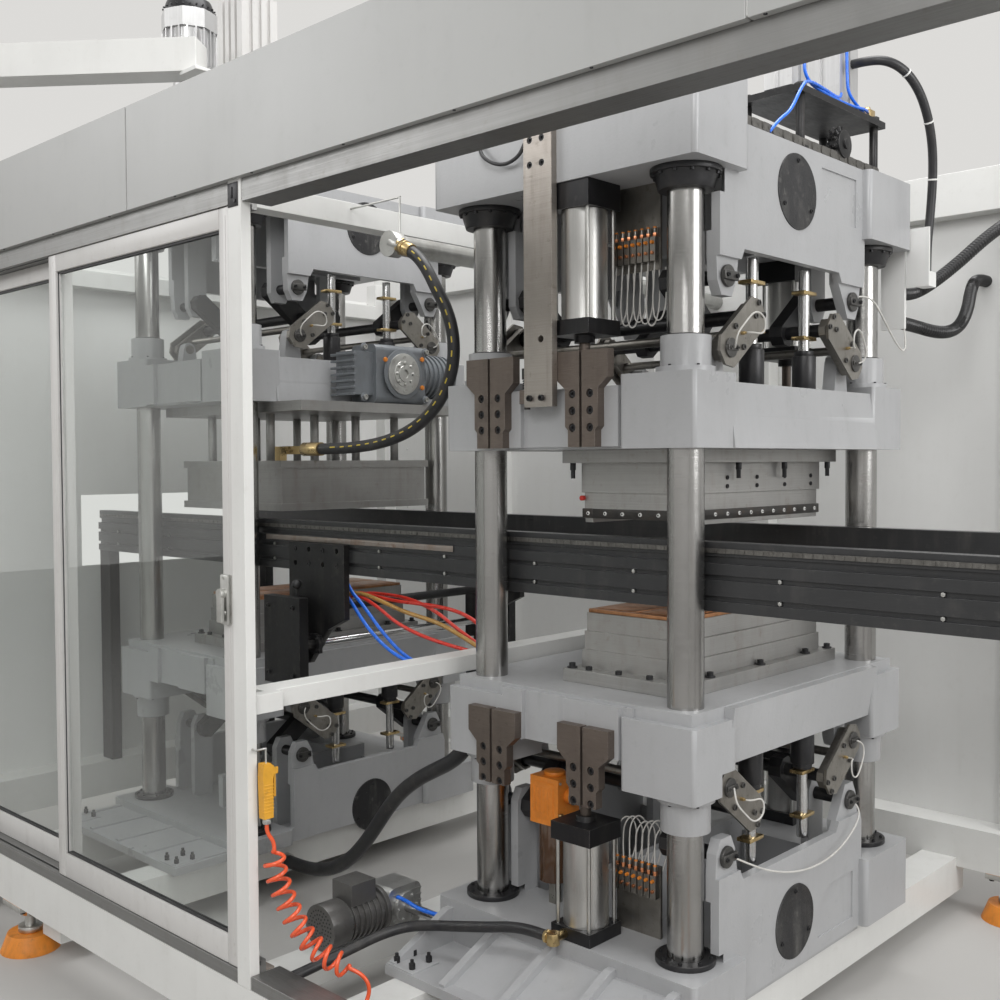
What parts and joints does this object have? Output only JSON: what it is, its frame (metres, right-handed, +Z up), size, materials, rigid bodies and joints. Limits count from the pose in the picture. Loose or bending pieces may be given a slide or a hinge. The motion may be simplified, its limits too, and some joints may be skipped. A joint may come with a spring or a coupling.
{
  "type": "thermoforming machine",
  "caption": "In-line thermoforming machine: two toggle presses on tie columns, chain rails, sliding glass doors and a steel guard frame.",
  "frame": {"origin": "centre of the footprint on the floor", "axes": "+X along the sheet travel to the open end, +Y from the operator side to the rear wall, +Z up"},
  "size_m": [4.2, 2.5358, 3.245],
  "materials": {
    "black_anodised": "satin",
    "black_casting": "satin",
    "black_rubber": "satin",
    "bracket_steel": "rough",
    "casting_paint": "satin",
    "cylinder_steel": "satin",
    "fascia_paint": "satin",
    "frame_paint": "satin",
    "ground_steel": "ground",
    "link_steel": "rough",
    "motor_grey": "satin",
    "mould_aluminium": "milled",
    "orange_cast": "satin",
    "panel_paint": "satin",
    "track_aluminium": "satin",
    "yellow_plastic": "gloss"
  },
  "bodies": {
    "machine": {"bearing_covers": "black_casting", "blow_gun": "yellow_plastic", "cable_duct": "panel_paint", "chain_rails": "black_anodised", "column_collars": "black_casting", "door_tracks": "track_aluminium", "fascia_panels": "fascia_paint", "fixed_light": "frame_paint", "former_base": "casting_paint", "former_crown": "casting_paint", "guard_frame": "frame_paint", "guard_panels": "panel_paint", "guide_bar": "bracket_steel", "hose_fittings": "cylinder_steel", "hoses": "black_rubber", "levelling_feet": "orange_cast", "lubricator": "orange_cast", "plinth_beams": "frame_paint", "press_air_cylinders": "cylinder_steel", "press_base": "casting_paint", "press_crown": "casting_paint", "rail_drive": "motor_grey", "rail_supports": "black_anodised", "tie_columns": "ground_steel", "top_cylinders": "cylinder_steel"},
    "press_upper_platen_group": {"press_upper_platen": "casting_paint", "press_upper_mould": "mould_aluminium", "press_upper_fittings": "bracket_steel"},
    "press_lower_platen_group": {"press_lower_platen": "casting_paint", "press_lower_mould": "mould_aluminium", "press_lower_fittings": "bracket_steel"},
    "press_upper_front_arm": {"press_upper_front_arm": "black_casting"},
    "press_upper_front_link": {"press_upper_front_link": "link_steel"},
    "press_upper_rear_arm": {"press_upper_rear_arm": "black_casting"},
    "press_upper_rear_link": {"press_upper_rear_link": "link_steel"},
    "press_lower_front_arm": {"press_lower_front_arm": "black_casting"},
    "press_lower_front_link": {"press_lower_front_link": "link_steel"},
    "press_lower_rear_arm": {"press_lower_rear_arm": "black_casting"},
    "press_lower_rear_link": {"press_lower_rear_link": "link_steel"},
    "former_upper_platen_group": {"former_upper_platen": "casting_paint", "former_upper_mould": "mould_aluminium", "gearmotor": "motor_grey"},
    "former_lower_platen_group": {"former_lower_platen": "casting_paint", "former_lower_mould": "mould_aluminium"},
    "former_upper_front_arm": {"former_upper_front_arm": "black_casting"},
    "former_upper_front_link": {"former_upper_front_link": "link_steel"},
    "former_upper_rear_arm": {"former_upper_rear_arm": "black_casting"},
    "former_upper_rear_link": {"former_upper_rear_link": "link_steel"},
    "former_lower_front_arm": {"former_lower_front_arm": "black_casting"},
    "former_lower_front_link": {"former_lower_front_link": "link_steel"},
    "former_lower_rear_arm": {"former_lower_rear_arm": "black_casting"},
    "former_lower_rear_link": {"former_lower_rear_link": "link_steel"},
    "right_door": {"right_door": "frame_paint"},
    "left_door": {"left_door": "frame_paint"},
    "door_handle": {"door_handle": "cylinder_steel"},
    "motor_hub": {"motor_hub": "cylinder_steel"},
    "index_plunger": {"index_plunger": "black_anodised"},
    "blow_gun_trigger": {"blow_gun_trigger": "black_anodised"}
  },
  "joints": [
    {"name": "press_upper_platen_travel", "type": "slide", "parent": "machine", "child": "press_upper_platen_group", "axis": [0, 0, -1], "range_m": [0, 0.088]},
    {"name": "press_lower_platen_travel", "type": "slide", "parent": "machine", "child": "press_lower_platen_group", "axis": [0, 0, 1], "range_m": [0, 0.088]},
    {"name": "press_upper_front_arm_pivot", "type": "hinge", "parent": "machine", "child": "press_upper_front_arm", "pos_m": [0.63, -0.384, 1.995], "axis": [-1, 0, 0], "range_deg": [0, 28]},
    {"name": "press_upper_front_link_pivot", "type": "hinge", "parent": "press_upper_platen_group", "child": "press_upper_front_link", "pos_m": [0.63, -0.384, 1.82251], "axis": [1, 0, 0], "range_deg": [0, 28]},
    {"name": "press_upper_rear_arm_pivot", "type": "hinge", "parent": "machine", "child": "press_upper_rear_arm", "pos_m": [0.63, 0.26, 1.995], "axis": [1, 0, 0], "range_deg": [0, 28]},
    {"name": "press_upper_rear_link_pivot", "type": "hinge", "parent": "press_upper_platen_group", "child": "press_upper_rear_link", "pos_m": [0.63, 0.26, 1.82251], "axis": [-1, 0, 0], "range_deg": [0, 28]},
    {"name": "press_lower_front_arm_pivot", "type": "hinge", "parent": "machine", "child": "press_lower_front_arm", "pos_m": [0.63, -0.384, 0.585], "axis": [1, 0, 0], "range_deg": [0, 28]},
    {"name": "press_lower_front_link_pivot", "type": "hinge", "parent": "press_lower_platen_group", "child": "press_lower_front_link", "pos_m": [0.63, -0.384, 0.75749], "axis": [-1, 0, 0], "range_deg": [0, 28]},
    {"name": "press_lower_rear_arm_pivot", "type": "hinge", "parent": "machine", "child": "press_lower_rear_arm", "pos_m": [0.63, 0.26, 0.585], "axis": [-1, 0, 0], "range_deg": [0, 28]},
    {"name": "press_lower_rear_link_pivot", "type": "hinge", "parent": "press_lower_platen_group", "child": "press_lower_rear_link", "pos_m": [0.63, 0.26, 0.75749], "axis": [1, 0, 0], "range_deg": [0, 28]},
    {"name": "former_upper_platen_travel", "type": "slide", "parent": "machine", "child": "former_upper_platen_group", "axis": [0, 0, -1], "range_m": [0, 0.088]},
    {"name": "former_lower_platen_travel", "type": "slide", "parent": "machine", "child": "former_lower_platen_group", "axis": [0, 0, 1], "range_m": [0, 0.088]},
    {"name": "former_upper_front_arm_pivot", "type": "hinge", "parent": "machine", "child": "former_upper_front_arm", "pos_m": [-1.22, -0.277, 2.18], "axis": [-1, 0, 0], "range_deg": [0, 28]},
    {"name": "former_upper_front_link_pivot", "type": "hinge", "parent": "former_upper_platen_group", "child": "former_upper_front_link", "pos_m": [-1.22, -0.277, 2.00751], "axis": [1, 0, 0], "range_deg": [0, 28]},
    {"name": "former_upper_rear_arm_pivot", "type": "hinge", "parent": "machine", "child": "former_upper_rear_arm", "pos_m": [-1.22, 0.367, 2.18], "axis": [1, 0, 0], "range_deg": [0, 28]},
    {"name": "former_upper_rear_link_pivot", "type": "hinge", "parent": "former_upper_platen_group", "child": "former_upper_rear_link", "pos_m": [-1.22, 0.367, 2.00751], "axis": [-1, 0, 0], "range_deg": [0, 28]},
    {"name": "former_lower_front_arm_pivot", "type": "hinge", "parent": "machine", "child": "former_lower_front_arm", "pos_m": [-1.22, -0.277, 0.495], "axis": [1, 0, 0], "range_deg": [0, 28]},
    {"name": "former_lower_front_link_pivot", "type": "hinge", "parent": "former_lower_platen_group", "child": "former_lower_front_link", "pos_m": [-1.22, -0.277, 0.66749], "axis": [-1, 0, 0], "range_deg": [0, 28]},
    {"name": "former_lower_rear_arm_pivot", "type": "hinge", "parent": "machine", "child": "former_lower_rear_arm", "pos_m": [-1.22, 0.367, 0.495], "axis": [-1, 0, 0], "range_deg": [0, 28]},
    {"name": "former_lower_rear_link_pivot", "type": "hinge", "parent": "former_lower_platen_group", "child": "former_lower_rear_link", "pos_m": [-1.22, 0.367, 0.66749], "axis": [1, 0, 0], "range_deg": [0, 28]},
    {"name": "right_door_slide", "type": "slide", "parent": "machine", "child": "right_door", "axis": [-1, 0, 0], "range_m": [0, 0.885]},
    {"name": "left_door_slide", "type": "slide", "parent": "machine", "child": "left_door", "axis": [1, 0, 0], "range_m": [0, 0.9]},
    {"name": "door_handle_turn", "type": "hinge", "parent": "right_door", "child": "door_handle", "pos_m": [0.1705, -1.25, 1.24], "axis": [0, 1, 0], "range_deg": [0, 90]},
    {"name": "motor_hub_spin", "type": "hinge", "parent": "former_upper_platen_group", "child": "motor_hub", "pos_m": [-0.655, 0.06, 1.877], "axis": [1, 0, 0], "continuous": true},
    {"name": "index_plunger_lift", "type": "slide", "parent": "press_upper_platen_group", "child": "index_plunger", "axis": [0, 0, 1], "range_m": [0, 0.015], "stiffness_N_per_m": 300},
    {"name": "blow_gun_trigger_pull", "type": "hinge", "parent": "machine", "child": "blow_gun_trigger", "pos_m": [0.266, -1.174, 0.82], "axis": [-1, 0, 0], "range_deg": [0, 4], "stiffness_Nm_per_rad": 0.2}
  ],
  "couplings": [
    {"joint": "press_upper_front_arm_pivot", "follows": "press_upper_platen_travel", "rad_per_m": 5.474},
    {"joint": "press_upper_front_link_pivot", "follows": "press_upper_platen_travel", "rad_per_m": 5.474},
    {"joint": "press_upper_rear_arm_pivot", "follows": "press_upper_platen_travel", "rad_per_m": 5.474},
    {"joint": "press_upper_rear_link_pivot", "follows": "press_upper_platen_travel", "rad_per_m": 5.474},
    {"joint": "press_lower_front_arm_pivot", "follows": "press_lower_platen_travel", "rad_per_m": 5.474},
    {"joint": "press_lower_front_link_pivot", "follows": "press_lower_platen_travel", "rad_per_m": 5.474},
    {"joint": "press_lower_rear_arm_pivot", "follows": "press_lower_platen_travel", "rad_per_m": 5.474},
    {"joint": "press_lower_rear_link_pivot", "follows": "press_lower_platen_travel", "rad_per_m": 5.474},
    {"joint": "former_upper_front_arm_pivot", "follows": "former_upper_platen_travel", "rad_per_m": 5.474},
    {"joint": "former_upper_front_link_pivot", "follows": "former_upper_platen_travel", "rad_per_m": 5.474},
    {"joint": "former_upper_rear_arm_pivot", "follows": "former_upper_platen_travel", "rad_per_m": 5.474},
    {"joint": "former_upper_rear_link_pivot", "follows": "former_upper_platen_travel", "rad_per_m": 5.474},
    {"joint": "former_lower_front_arm_pivot", "follows": "former_lower_platen_travel", "rad_per_m": 5.474},
    {"joint": "former_lower_front_link_pivot", "follows": "former_lower_platen_travel", "rad_per_m": 5.474},
    {"joint": "former_lower_rear_arm_pivot", "follows": "former_lower_platen_travel", "rad_per_m": 5.474},
    {"joint": "former_lower_rear_link_pivot", "follows": "former_lower_platen_travel", "rad_per_m": 5.474}
  ]
}
